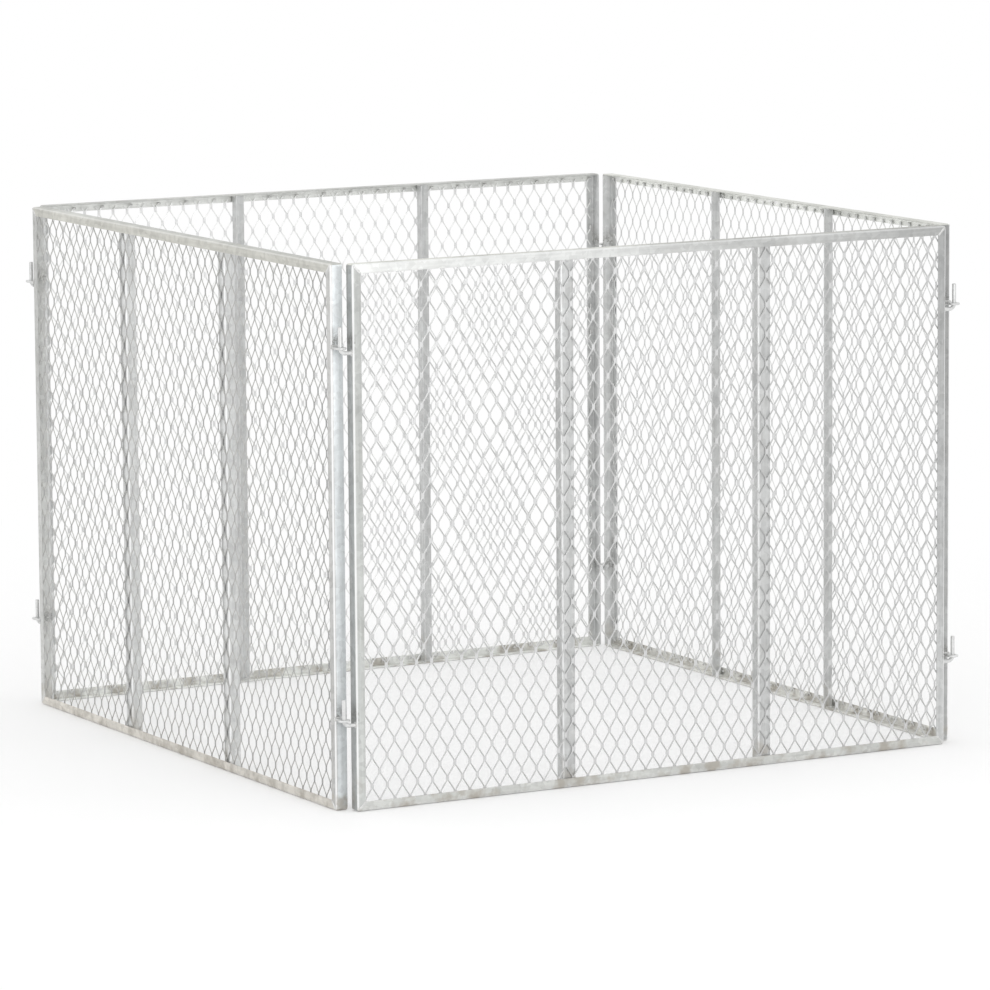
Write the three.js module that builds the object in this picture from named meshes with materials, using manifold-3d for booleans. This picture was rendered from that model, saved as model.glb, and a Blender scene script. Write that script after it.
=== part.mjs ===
// Open garden compost bin: four alike panels of folded galvanised angle and expanded metal stand in a
// square. The front and back panels carry upright hooks at both ends, and the side panels carry eyes
// that drop over them, so each side panel lifts straight up off the other two.
// Millimetres, +Z up, origin on the ground at the middle of the bin, front panel at -Y, left panel at -X.
import * as THREE from "three";
import {
  mergeGeometries,
  mergeVertices,
} from "three/addons/utils/BufferGeometryUtils.js";
import Module from "manifold-3d";

const wasm = await Module();
wasm.setup();

// The bin
const bin_side = 1000; // over the outer faces of two opposite panels
const bin_height = 750;
const corner_setback = 22; // each panel ends this far inside its neighbour's outer face
const seat_gap = 0.3; // left between pieces that touch
const cut_overrun = 5; // how far a cutting shape runs past what it cuts

// Folded angle of the panel frames
const frame_face_leg = 13; // the leg that shows from outside
const frame_inward_leg = 18;
const frame_wall = 2;
const frame_inside_bend = 1; // radius inside the fold

// Folded angle of the two uprights in each panel
const strut_face_leg = 20;
const strut_inward_leg = 16;
const strut_wall = 2;
const strut_inside_bend = 1;

// Expanded metal, its diamonds upright. The openings are wider than the real 23 x 43 mm ones and the
// strands wider in the same proportion, so the open share of the sheet is the real one.
const sheet_thickness = 2;
const diamond_width = 77; // nearest size that divides the frame's window evenly is used
const diamond_height = 144;
const strand_width = 8;

// Hooks and eyes
const rod_radius = 3;
const rod_inset = 5; // rod's axis inside both outer faces of its corner
const rod_bend_radius = 8; // at the middle of the rod
const rod_rise = 36; // from the middle of the rod's root to its tip
const rod_tip_chamfer = 1;
const hook_from_edge = 120; // root of a hook from the panel's nearer edge
const eye_play = 1; // between the rod and the eye all round
const eye_rim = 4.5; // metal round the eye's hole
const eye_thickness = 3;
const eye_shank_width = 10;

// How finely round things are cut
const fold_steps = 3;
const rod_sides = 10;
const rod_bend_steps = 5;
const eye_steps = 10;

const panel_width = bin_side - 2 * corner_setback;
const window_width = panel_width - 2 * frame_face_leg;
const window_height = bin_height - 2 * frame_face_leg;
const quarter_turn = Math.PI / 2;

const angle_steel = new THREE.MeshStandardMaterial({
  name: "galvanised_angle",
  color: 0xb4b6b4,
  roughness: 0.45,
  metalness: 0.85,
});
const mesh_steel = new THREE.MeshStandardMaterial({
  name: "galvanised_expanded_metal",
  color: 0xa9abaa,
  roughness: 0.5,
  metalness: 0.85,
});
const rod_steel = new THREE.MeshStandardMaterial({
  name: "galvanised_rod",
  color: 0x9fa1a1,
  roughness: 0.4,
  metalness: 0.9,
});

// A closed geometry as a solid that can be cut.
function solidOf(geometry) {
  const bare = geometry.clone();
  bare.deleteAttribute("normal");
  bare.deleteAttribute("uv");
  const merged = mergeVertices(bare);
  return new wasm.Manifold(
    new wasm.Mesh({
      numProp: 3,
      vertProperties: merged.attributes.position.array,
      triVerts: new Uint32Array(merged.index.array),
    }),
  );
}

function geometryOf(solid) {
  const { vertProperties, triVerts } = solid.getMesh();
  const geometry = new THREE.BufferGeometry();
  geometry.setAttribute(
    "position",
    new THREE.BufferAttribute(vertProperties, 3),
  );
  geometry.setIndex(new THREE.BufferAttribute(triVerts, 1));
  geometry.computeVertexNormals();
  return geometry;
}

// Section of a folded angle: legs along +X and +Y, the outside of the fold towards the origin.
function angleSection(leg_x, leg_y, wall, inside_bend) {
  const outside_bend = wall + inside_bend;
  const section = new THREE.Shape();
  section.absarc(
    outside_bend,
    outside_bend,
    outside_bend,
    2 * quarter_turn,
    3 * quarter_turn,
  );
  section.lineTo(leg_x, 0);
  section.lineTo(leg_x, wall);
  section.absarc(
    outside_bend,
    outside_bend,
    inside_bend,
    3 * quarter_turn,
    2 * quarter_turn,
    true,
  );
  section.lineTo(wall, leg_y);
  section.lineTo(0, leg_y);
  section.closePath();
  return section;
}

// A frame member lying along X on its outer edge, face leg up, inward leg towards +Y. Both ends are
// mitred: a vertex moves in from the end by its height above the outer edge.
function frameMember(length) {
  const section = angleSection(
    frame_face_leg,
    frame_inward_leg,
    frame_wall,
    frame_inside_bend,
  );
  const member = new THREE.ExtrudeGeometry(section, {
    depth: length,
    bevelEnabled: false,
    curveSegments: fold_steps,
  });
  member.translate(0, 0, -length / 2);
  const places = member.attributes.position;
  for (let i = 0; i < places.count; i++) {
    const end = places.getZ(i);
    const mitre = places.getX(i) + seat_gap / 2;
    places.setZ(i, end - Math.sign(end) * mitre);
  }
  member.rotateY(-quarter_turn);
  return member;
}

function strut() {
  const section = angleSection(
    strut_face_leg,
    strut_inward_leg,
    strut_wall,
    strut_inside_bend,
  );
  return new THREE.ExtrudeGeometry(section, {
    depth: bin_height - 2 * (frame_wall + seat_gap),
    bevelEnabled: false,
    curveSegments: fold_steps,
  });
}

// One opening of the expanded metal: a rhombus drawn in by half a strand from each side, cut along Y.
function diamondCutter(width, height) {
  const half_width = width / 2;
  const half_height = height / 2;
  const side_distance =
    (half_width * half_height) / Math.hypot(half_width, half_height);
  const open_share = 1 - strand_width / 2 / side_distance;
  const outline = new THREE.Shape([
    new THREE.Vector2(half_width * open_share, 0),
    new THREE.Vector2(0, half_height * open_share),
    new THREE.Vector2(-half_width * open_share, 0),
    new THREE.Vector2(0, -half_height * open_share),
  ]);
  const depth = sheet_thickness + 2 * cut_overrun;
  const cutter = new THREE.ExtrudeGeometry(outline, {
    depth,
    bevelEnabled: false,
  });
  cutter.translate(0, 0, -depth / 2);
  cutter.rotateX(quarter_turn);
  return cutter;
}

// The sheet fills the frame up to the inward legs. Its openings stop at the frame's window, so a
// plain margin lies behind the face legs. Centred on the origin, in the XZ plane.
function expandedMetal() {
  const hidden_edge = frame_face_leg - frame_wall - seat_gap;
  const sheet = new THREE.BoxGeometry(
    window_width + 2 * hidden_edge,
    sheet_thickness,
    window_height + 2 * hidden_edge,
  );
  const window = new THREE.BoxGeometry(
    window_width,
    sheet_thickness + 2 * cut_overrun,
    window_height,
  );
  const columns = Math.max(1, Math.round(window_width / diamond_width));
  const rows = Math.max(1, Math.round(window_height / diamond_height));
  const width = window_width / columns;
  const height = window_height / rows;
  const cutter = diamondCutter(width, height);
  const openings = [];
  // Every other line of diamonds is half a diamond along, with halves at the window's edges.
  for (let row = 0; row <= 2 * rows; row++) {
    const shifted = row % 2;
    for (let column = 0; column <= columns - shifted; column++) {
      const x = (column + shifted / 2) * width - window_width / 2;
      const z = (row * height) / 2 - window_height / 2;
      openings.push(cutter.clone().translate(x, 0, z));
    }
  }
  const cut = solidOf(mergeGeometries(openings)).intersect(solidOf(window));
  return geometryOf(solidOf(sheet).subtract(cut));
}

// A round bar bent in the XZ plane, through stations that each give a place, a heading and a radius.
function roundBar(stations) {
  const points = [];
  const faces = [];
  for (const { x, z, heading, radius } of stations) {
    for (let side = 0; side < rod_sides; side++) {
      const turn = (side / rod_sides) * 4 * quarter_turn;
      const across = radius * Math.cos(turn);
      points.push(
        x - across * Math.sin(heading),
        radius * Math.sin(turn),
        z + across * Math.cos(heading),
      );
    }
  }
  const last_ring = (stations.length - 1) * rod_sides;
  for (let side = 0; side < rod_sides; side++) {
    const next = (side + 1) % rod_sides;
    for (let ring = 0; ring < last_ring; ring += rod_sides) {
      const ahead = ring + rod_sides;
      faces.push(ring + side, ahead + side, ahead + next);
      faces.push(ring + side, ahead + next, ring + next);
    }
    if (side > 0 && next > 0) {
      faces.push(0, side, next);
      faces.push(last_ring, last_ring + next, last_ring + side);
    }
  }
  const bar = new THREE.BufferGeometry();
  bar.setAttribute("position", new THREE.Float32BufferAttribute(points, 3));
  bar.setIndex(faces);
  bar.computeVertexNormals();
  return bar;
}

// From the end face of a panel to the axis of its corner's rods.
const rod_reach = corner_setback - rod_inset;

// A hook, centred on its rod's axis at the height of its root: out from the panel's end, then up.
function hook() {
  const stations = [
    { x: seat_gap - rod_reach, z: 0, heading: 0, radius: rod_radius },
  ];
  for (let step = 0; step <= rod_bend_steps; step++) {
    const heading = (step / rod_bend_steps) * quarter_turn;
    stations.push({
      x: rod_bend_radius * (Math.sin(heading) - 1),
      z: rod_bend_radius * (1 - Math.cos(heading)),
      heading,
      radius: rod_radius,
    });
  }
  stations.push({
    x: 0,
    z: rod_rise - rod_tip_chamfer,
    heading: quarter_turn,
    radius: rod_radius,
  });
  stations.push({
    x: 0,
    z: rod_rise,
    heading: quarter_turn,
    radius: rod_radius - rod_tip_chamfer,
  });
  return roundBar(stations);
}

// An eye, centred on its hole, its shank pointing back to the panel's end. Extruded upwards.
const eye_hole_radius = rod_radius + eye_play;
function eye() {
  const outer_radius = eye_hole_radius + eye_rim;
  const shank_angle = Math.asin(eye_shank_width / 2 / outer_radius);
  const opening_out = Math.PI - shank_angle;
  const outline = new THREE.Shape();
  outline.moveTo(seat_gap - rod_reach, eye_shank_width / 2);
  outline.lineTo(seat_gap - rod_reach, -eye_shank_width / 2);
  outline.absarc(0, 0, outer_radius, -opening_out, opening_out);
  outline.closePath();
  const hole = new THREE.Path();
  hole.absarc(0, 0, eye_hole_radius, 0, 4 * quarter_turn, true);
  outline.holes.push(hole);
  return new THREE.ExtrudeGeometry(outline, {
    depth: eye_thickness,
    bevelEnabled: false,
    curveSegments: eye_steps,
  });
}

// The eye comes to rest where the edge of its hole meets the inside of the rod's bend.
function eyeRestHeight() {
  const inside_radius = rod_bend_radius - rod_radius - seat_gap;
  const edge_in_bend = rod_bend_radius - eye_hole_radius;
  const drop = Math.sqrt(
    Math.max(0, inside_radius ** 2 - edge_in_bend ** 2),
  );
  return rod_bend_radius - drop;
}

// The panels, each seen from outside with its left end first. A strut's face leg points to strut_side,
// and a panel's two struts stand a little to the right of even spacing by a share of its width.
const panels = [
  {
    name: "front",
    ends: ["left", "right"],
    turn: 0,
    connector: "hook",
    strut_side: 1,
    strut_shift_share: 0.007,
  },
  {
    name: "right",
    ends: ["front", "rear"],
    turn: 1,
    connector: "eye",
    strut_side: 1,
    strut_shift_share: -0.016,
  },
  {
    name: "back",
    ends: ["right", "left"],
    turn: 2,
    connector: "hook",
    strut_side: -1,
    strut_shift_share: 0,
  },
  {
    name: "left",
    ends: ["rear", "front"],
    turn: 3,
    connector: "eye",
    strut_side: -1,
    strut_shift_share: -0.01,
  },
];

const member_across = frameMember(panel_width);
const member_upright = frameMember(bin_height);
const strut_bar = strut();
const sheet = expandedMetal();
const connectors = {
  hook: { geometry: hook(), rise: 0 },
  eye: { geometry: eye(), rise: eyeRestHeight() },
};

function addPiece(group, name, geometry, material, x, y, z) {
  const piece = new THREE.Mesh(geometry, material);
  piece.name = name;
  piece.position.set(x, y, z);
  group.add(piece);
  return piece;
}

// A panel stands along X with its outer face at Y = 0 and its inside towards +Y.
function makePanel({ name, ends, connector, strut_side, strut_shift_share }) {
  const panel = new THREE.Group();
  const half_width = panel_width / 2;
  const half_height = bin_height / 2;
  const members = [
    ["bottom_rail", member_across, 0, 0, 0],
    ["top_rail", member_across, 2, 0, bin_height],
    [`${ends[0]}_stile`, member_upright, 1, -half_width, half_height],
    [`${ends[1]}_stile`, member_upright, -1, half_width, half_height],
  ];
  for (const [part, geometry, turns, x, z] of members) {
    const member = addPiece(
      panel,
      `${name}_${part}`,
      geometry,
      angle_steel,
      x,
      0,
      z,
    );
    member.rotation.y = turns * quarter_turn;
  }

  const sheet_back = frame_wall + seat_gap + sheet_thickness;
  const sheet_middle = sheet_back - sheet_thickness / 2;
  addPiece(
    panel,
    `${name}_expanded_metal`,
    sheet,
    mesh_steel,
    0,
    sheet_middle,
    half_height,
  );

  const levels = [
    ["lower", hook_from_edge],
    ["upper", bin_height - hook_from_edge],
  ];
  ends.forEach((end, index) => {
    const side = index === 0 ? -1 : 1;
    const upright = addPiece(
      panel,
      `${name}_${end}_strut`,
      strut_bar,
      angle_steel,
      (side / 6 + strut_shift_share) * panel_width,
      sheet_back + seat_gap,
      frame_wall + seat_gap,
    );
    upright.scale.x = strut_side;

    const { geometry, rise } = connectors[connector];
    for (const [level, height] of levels) {
      const piece = addPiece(
        panel,
        `${name}_${end}_${level}_${connector}`,
        geometry,
        rod_steel,
        side * (half_width + rod_reach),
        rod_inset,
        height + rise,
      );
      piece.rotation.z = side > 0 ? 0 : 2 * quarter_turn;
    }
  });
  return panel;
}

const compost_bin = new THREE.Group();
for (const panel of panels) {
  const placed = makePanel(panel);
  const angle = panel.turn * quarter_turn;
  placed.rotation.z = angle;
  placed.position.set(
    (Math.sin(angle) * bin_side) / 2,
    (-Math.cos(angle) * bin_side) / 2,
    0,
  );
  compost_bin.add(placed);
}

export default compost_bin;
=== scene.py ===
"""Dresses the galvanised compost bin: welded angle frames, raised expanded metal, hooks and eyes."""

import math

import bmesh
import bpy
from bpy.props import (FloatProperty, FloatVectorProperty, IntProperty, PointerProperty)
from mathutils import Matrix, Vector


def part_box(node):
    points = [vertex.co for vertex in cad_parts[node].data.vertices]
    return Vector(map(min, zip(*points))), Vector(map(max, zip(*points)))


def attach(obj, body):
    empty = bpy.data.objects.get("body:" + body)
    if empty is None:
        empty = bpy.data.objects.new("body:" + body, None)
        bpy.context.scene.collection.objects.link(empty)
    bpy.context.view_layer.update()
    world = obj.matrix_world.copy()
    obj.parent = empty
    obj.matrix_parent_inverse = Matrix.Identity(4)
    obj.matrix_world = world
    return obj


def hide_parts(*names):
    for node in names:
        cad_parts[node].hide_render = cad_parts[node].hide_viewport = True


bl_info = {
    "name": "Galvanised compost bin",
    "version": (1, 0, 0),
    "blender": (4, 5, 0),
    "location": "3D View > Sidebar > Compost bin",
    "description": "Builds the visible pieces of a hooked-together compost bin over its fixed frame",
    "category": "Object",
}

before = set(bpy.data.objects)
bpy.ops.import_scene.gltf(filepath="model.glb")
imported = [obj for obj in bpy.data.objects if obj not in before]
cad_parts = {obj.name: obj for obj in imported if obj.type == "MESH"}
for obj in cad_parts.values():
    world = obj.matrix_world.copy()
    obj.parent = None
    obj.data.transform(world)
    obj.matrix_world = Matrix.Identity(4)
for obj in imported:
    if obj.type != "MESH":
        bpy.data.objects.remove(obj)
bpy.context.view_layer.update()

# The four panels seen from outside: the quarter turn that places each one, its left and right ends,
# the body it belongs to, the connector it carries and the way its struts' face legs point.
PANELS = {
    "front": (0, ("left", "right"), "front_and_back_panels", "hook", 1),
    "right": (1, ("front", "rear"), "right_panel", "eye", 1),
    "back": (2, ("right", "left"), "front_and_back_panels", "hook", -1),
    "left": (3, ("rear", "front"), "left_panel", "eye", -1),
}
LEVELS = ("lower", "upper")
FLOOR_RADIUS = 40.0
FLOOR_GAP = 0.0005
SAME_PLACE = 1e-7  # points nearer than this are one
WELD_APART = 1e-5  # strands' ends nearer than this are joined
FOLD_SMOOTH = math.radians(40)
ROD_SMOOTH = math.radians(50)
ANGLE_SLOT = "galvanised_angle"
SHEET_SLOT = "galvanised_expanded_metal"
ROD_SLOT = "galvanised_rod"

# Painted light and shade on each member: tints over the colour of the angle, on the leg that faces
# outwards and on the leg that points into the bin, set by how the light falls on each, and a painted
# falloff of light along the member, its tint at the left or lower end and at the right or upper end.
MEMBER_LIGHT_TINTS = {
    "front": {
        "top": ((1.0, 1.0, 0.99), (0.76, 0.76, 0.7), (1.45, 0.76)),
        "bottom": ((1.06, 1.06, 1.03), (1.06, 1.06, 1.03), (1.03, 0.97)),
        "first": ((0.9, 0.91, 0.89), (0.72, 0.73, 0.73), (1.12, 0.9)),
        "last": ((0.9, 0.9, 0.9), (0.9, 0.9, 0.9), (1.12, 0.78)),
    },
    "right": {
        "top": ((1.55, 1.55, 1.5), (1.12, 1.12, 1.06), (0.95, 1.05)),
        "bottom": ((1.3, 1.28, 1.23), (1.3, 1.28, 1.23), (1.0, 1.0)),
        "first": ((1.05, 1.05, 1.05), (0.74, 0.74, 0.74), (1.1, 0.8)),
        "last": ((1.1, 1.1, 1.1), (1.1, 1.1, 1.1), (1.0, 1.0)),
    },
    "back": {
        "top": ((1.35, 1.35, 1.32), (0.95, 0.95, 0.92), (0.95, 1.05)),
        "bottom": ((1.4, 1.4, 1.36), (1.4, 1.4, 1.36), (1.0, 1.0)),
        "first": ((1.05, 1.05, 1.05), (1.05, 1.05, 1.05), (1.0, 1.0)),
        "last": ((1.15, 1.15, 1.15), (1.15, 1.15, 1.15), (1.0, 1.0)),
    },
    "left": {
        "top": ((1.0, 0.98, 0.91), (0.85, 0.85, 0.8), (1.05, 0.97)),
        "bottom": ((1.15, 1.09, 1.01), (1.1, 1.05, 0.98), (1.05, 0.97)),
        "first": ((1.0, 1.0, 0.98), (1.1, 1.1, 1.08), (1.03, 0.92)),
        "last": ((0.95, 0.94, 0.93), (1.32, 1.36, 1.39), (0.88, 1.1)),
    },
}
# Painted light on each panel's struts: how much lighter the same angle is drawn there.
STRUT_LIGHT_TINTS = {"front": 1.0, "right": 1.0, "back": 1.05, "left": 1.25}

# How much painted highlight lies along the legs' lips, and on the rails' folds over the uprights'
# folds.
LIP_HIGHLIGHT = 0.3
RAIL_HIGHLIGHT = 0.4

# How many steps round the angle's fold, its lips, a frame's ground corner, a hook's bend, its tip and
# the weld at its root.
HEEL_STEPS = 8
LIP_STEPS = 2
CORNER_STEPS = 5
BEND_STEPS = 12
TIP_STEPS = 4
ROOT_STEPS = 16

# Painted light on each sheet of expanded metal: a tint over the sheets' colour, pale on the back and
# right sheets, and where its joints are drawn: toward the highlight colour (1), a painted highlight,
# or toward the dark joint colour (0), a painted shade. Then the palest that one can be.
SHEET_LIGHT_TINTS = {
    "front": ((0.96, 0.96, 0.96), 0.5),
    "right": ((1.6, 1.6, 1.6), 0.6),
    "back": ((1.7, 1.7, 1.7), 0.64),
    "left": ((1.06, 1.05, 1.02), 0.15),
}
PALEST_SHEET = 0.97

# The zinc of each kind of piece: the setting that holds its colour, its crystals over the spangle's
# size, how far its tone spreads, how rough it is, how grainy, and how much dust it holds.
ZINC_KINDS = {
    "rail": ("angle_colour", 1.0, 0.17, 0.42, 0.25, 0.8),
    "upright": ("angle_colour", 1.0, 0.17, 0.42, 0.25, 0.8),
    "rod": ("rod_colour", 0.7, 0.12, 0.38, 0.25, 0.3),
    "weld": ("weld_colour", 0.4, 0.18, 0.5, 0.5, 0.4),
    "sheet": ("sheet_colour", 0.6, 0.05, 0.45, 0.3, 0.2),
}

# How the streaks are squeezed along X, Y and Z, so that they run along the member.
STREAK_SQUEEZE = {"rail": (0.06, 0.06, 1.0), "upright": (1.0, 1.0, 0.06)}

# How the zinc's patterns are weighed into one tone, the part of that tone's range that is used, and
# how much rougher its darkest and smoother its lightest places are.
CRYSTAL_WEIGHT = 0.35
STREAK_WEIGHT = 0.9
TONE_RANGE = (0.75, 1.5)
DARK_ROUGHER = 0.1
LIGHT_SMOOTHER = 0.08
GRAIN_HEIGHT = 0.0003

# Where a strand of the expanded metal bends away from its joint, as shares of its way out and up and
# of its offset there, and how much painted highlight it carries at the joint and at the bend.
BEND_OUT = 0.14
BEND_UP = 0.2
BEND_TURN = 0.85
JOINT_HIGHLIGHT = 0.9
BEND_HIGHLIGHT = 0.3

# The shape of a weld ripple over a ball, along its seam, across it and outwards, how small and how
# large the ripples come out, and how deep a seam lies in the corner's face, as a share of a bead.
RIPPLE_SHAPE = (0.8, 1.0, 0.5)
RIPPLE_LEAST = (0.8, 0.78, 0.75)
RIPPLE_MOST = (1.12, 1.15, 1.2)
SEAM_SUNK = 0.1

# Where each lamp stands, where it points and how wide it is.
MAIN_LIGHT = ((-0.45, -2.3, 0.95), (-0.4, -0.5, 0.6), 1.1)
LEFT_LIGHT = ((-2.8, -0.4, 0.5), (-0.5, 0.0, 0.4), 1.2)

# How far each sheet's pattern lies off the panel's middle, across and up.
SHEET_SHIFTS = {
    "front": (0.0035, -0.0105),
    "right": (-0.0005, 0.014),
    "back": (0.006, 0.005),
    "left": (-0.00175, -0.01025),
}


def placement(panel):
    """The matrix that takes a panel, standing along X with its outer face at Y 0, to its place."""
    angle = PANELS[panel][0] * math.pi / 2
    half_side = -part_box("left_front_stile")[0].x
    outwards = Vector((math.sin(angle), -math.cos(angle), 0))
    return Matrix.Translation(outwards * half_side) @ Matrix.Rotation(angle, 4, "Z")


def local_box(node):
    """A CAD node's lowest and highest corners in the frame of the panel that it belongs to."""
    back = placement(node.split("_")[0]).inverted()
    low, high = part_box(node)
    a = back @ low
    b = back @ high
    return Vector(map(min, a, b)), Vector(map(max, a, b))


# Sizes of the frame, measured on the front panel.
STILE_LOW, STILE_HIGH = local_box("front_right_stile")
HALF_WIDTH = STILE_HIGH.x
FACE_LEG = STILE_HIGH.x - STILE_LOW.x
INWARD_LEG = STILE_HIGH.y
BIN_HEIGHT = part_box("front_top_rail")[1].z
SHEET_LOW, SHEET_HIGH = local_box("front_expanded_metal")


# What makes a vector property a colour.
COLOUR = {"subtype": "COLOR", "min": 0.0, "max": 1.0}


class FrameSizes(bpy.types.PropertyGroup):
    """Folded angle of the frames and the struts."""

    wall: FloatProperty(
        name="Wall", description="Thickness of the folded steel", default=0.002, subtype="DISTANCE"
    )
    outside_fold: FloatProperty(
        name="Outside fold", description="Radius on the outside of the fold",
        default=0.003, subtype="DISTANCE",
    )
    edge_round: FloatProperty(
        name="Edge round", description="Radius that the zinc leaves along the legs' edges",
        default=0.0006, subtype="DISTANCE",
    )
    ground_corner: FloatProperty(
        name="Ground corner", description="Radius to which the welded outer corners are ground",
        default=0.0035, subtype="DISTANCE",
    )


class SheetSizes(bpy.types.PropertyGroup):
    """Raised expanded metal."""

    diamond_width: FloatProperty(
        name="Diamond width", description="Pitch of the joints along a row",
        default=0.02345, subtype="DISTANCE",
    )
    diamond_height: FloatProperty(
        name="Diamond height", description="Pitch of the joints along a column",
        default=0.0415, subtype="DISTANCE",
    )
    strand_width: FloatProperty(
        name="Strand width", description="Width of a strand across its broad face",
        default=0.0021, subtype="DISTANCE",
    )
    metal_thickness: FloatProperty(
        name="Metal thickness", description="Thickness of the sheet before it was stretched",
        default=0.001, subtype="DISTANCE",
    )
    edge_gap: FloatProperty(
        name="Edge gap",
        description="How far the sheared edges stop short of the room behind the frame's legs",
        default=0.0055, subtype="DISTANCE",
    )
    joint_length: FloatProperty(
        name="Joint length", description="Height of the solid part where four strands meet",
        default=0.006, subtype="DISTANCE",
    )
    tilt: FloatProperty(
        name="Tilt", description="Turn of the joints and strands out of the plane of the sheet",
        default=math.radians(12), subtype="ANGLE",
    )


class WeldSizes(bpy.types.PropertyGroup):
    """Weld beads and tacks."""

    ripple_radius: FloatProperty(
        name="Ripple radius", description="Half the width of a weld bead",
        default=0.0019, subtype="DISTANCE",
    )
    ripple_pitch: FloatProperty(
        name="Ripple pitch", description="Distance from one ripple of a bead to the next",
        default=0.0013, subtype="DISTANCE",
    )
    tack_length: FloatProperty(
        name="Tack length", description="Length of the tacks that hold the expanded metal",
        default=0.003, subtype="DISTANCE",
    )
    tack_spacing: IntProperty(
        name="Diamonds per tack",
        description="Number of diamonds from one tack to the next along the rails",
        default=2, min=1,
    )
    seed: IntProperty(name="Seed", description="Changes how the ripples vary", default=7)


class ConnectorSizes(bpy.types.PropertyGroup):
    """Hooks and eyes."""

    rod_sides: IntProperty(
        name="Rod sides", description="Number of faces round a rod", default=20, min=6
    )
    rod_bend: FloatProperty(
        name="Rod bend", description="Radius of the hooks' bend, at the middle of the rod",
        default=0.008, subtype="DISTANCE",
    )
    tip_round: FloatProperty(
        name="Tip rounding", description="Radius round the tips of the hooks",
        default=0.0012, subtype="DISTANCE",
    )
    plate_round: FloatProperty(
        name="Eye edge rounding", description="Radius along the edges of the eyes' plate",
        default=0.0007, subtype="DISTANCE",
    )
    rim: FloatProperty(
        name="Eye rim", description="Metal left round the hole of an eye",
        default=0.0045, subtype="DISTANCE",
    )
    shank: FloatProperty(
        name="Eye shank", description="Width of the shank that carries an eye",
        default=0.01, subtype="DISTANCE",
    )


class Finish(bpy.types.PropertyGroup):
    """Colours of the zinc, of what has settled on it, and of its painted highlight and shade."""

    angle_colour: FloatVectorProperty(
        name="Angle", description="Zinc on the folded angle", default=(0.58, 0.587, 0.583), **COLOUR
    )
    sheet_colour: FloatVectorProperty(
        name="Expanded metal", description="Zinc on the expanded metal",
        default=(0.52, 0.523, 0.517), **COLOUR,
    )
    rod_colour: FloatVectorProperty(
        name="Rods", description="Zinc on the hooks and eyes", default=(0.7, 0.705, 0.7), **COLOUR
    )
    weld_colour: FloatVectorProperty(
        name="Welds", description="Zinc over the weld beads", default=(0.7, 0.7, 0.69), **COLOUR
    )
    # Painted highlight: the colour that folds, lips and joints are drawn toward.
    highlight_colour: FloatVectorProperty(
        name="Bright zinc", description="Zinc where it gathered thickly or was rubbed",
        default=(0.95, 0.955, 0.955), **COLOUR,
    )
    # The dark end of the sheets' joints: painted shade, where a joint is drawn darker than its
    # strands.
    dark_joint_colour: FloatVectorProperty(
        name="Dull zinc", description="Zinc on the sheared joints of the duller sheets",
        default=(0.33, 0.33, 0.33), **COLOUR,
    )
    # Burnt zinc and spatter round the welds, and painted shade in the corners there.
    scorch_and_shade_colour: FloatVectorProperty(
        name="Scorch", description="Grey burnt zinc and spatter round the welds",
        default=(0.22, 0.22, 0.21), **COLOUR,
    )
    dust_colour: FloatVectorProperty(
        name="Dust", description="White rust and dust in the corners",
        default=(0.42, 0.39, 0.34), **COLOUR,
    )
    spangle: FloatProperty(
        name="Spangle", description="Size of the zinc crystals", default=0.007, subtype="DISTANCE"
    )
    metallic: FloatProperty(
        name="Metallic",
        description="How metallic the zinc is, from chalky white rust to bare metal",
        default=0.6, min=0.0, max=1.0, subtype="FACTOR",
    )


class StageLook(bpy.types.PropertyGroup):
    """Floor, background and light."""

    floor_colour: FloatVectorProperty(
        name="Floor", description="Colour of the floor", default=(0.9, 0.9, 0.9), **COLOUR
    )
    floor_glow: FloatProperty(
        name="Floor glow",
        description="Light added to what the camera sees of the floor, which keeps its shadow",
        default=0.09, min=0.0,
    )
    shadow_radius: FloatProperty(
        name="Shadow radius",
        description="How far from the bin's middle the floor shows its full shadow",
        default=0.7, subtype="DISTANCE",
    )
    white_radius: FloatProperty(
        name="White radius", description="Where the floor has gone over to plain white",
        default=2.2, subtype="DISTANCE",
    )
    key_power: FloatProperty(
        name="Main light", description="Power of the large soft light in front, in watts",
        default=6.0, subtype="POWER",
    )
    fill_power: FloatProperty(
        name="Second light", description="Power of the soft light at the left, in watts",
        default=3.0, subtype="POWER",
    )
    surroundings: FloatProperty(
        name="Surroundings", description="Strength of the even light from all round",
        default=1.0, min=0.0,
    )


def new_group(name, kind, inputs, outputs):
    """An empty node group of one kind, and the sockets of its input and output nodes."""
    group = bpy.data.node_groups.new(name, kind)
    for label, value, *default in inputs:
        socket = group.interface.new_socket(label, in_out="INPUT", socket_type="NodeSocket" + value)
        if default:
            socket.default_value = default[0]
    for label, value in outputs:
        group.interface.new_socket(label, in_out="OUTPUT", socket_type="NodeSocket" + value)
    given = group.nodes.new("NodeGroupInput").outputs
    return group, given, group.nodes.new("NodeGroupOutput").inputs


def add_node(tree, kind, inputs=None, **settings):
    """A node with its settings made and its inputs set or linked."""
    node = tree.nodes.new(kind)
    for key, value in settings.items():
        setattr(node, key, value)
    for key, value in (inputs or {}).items():
        if isinstance(value, bpy.types.NodeSocket):
            tree.links.new(value, node.inputs[key])
        else:
            node.inputs[key].default_value = value
    return node


def blend_colours(tree, share, first, second, blend_type="MIX"):
    """The colour output of a mix of two colours, each a socket or three numbers."""
    node = add_node(
        tree,
        "ShaderNodeMix",
        {0: share},
        data_type="RGBA",
        blend_type=blend_type,
        clamp_result=True,
    )
    for socket, value in zip((node.inputs[6], node.inputs[7]), (first, second)):
        if isinstance(value, bpy.types.NodeSocket):
            tree.links.new(value, socket)
        else:
            socket.default_value = (*value, 1.0)
    return node.outputs[2]


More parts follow.
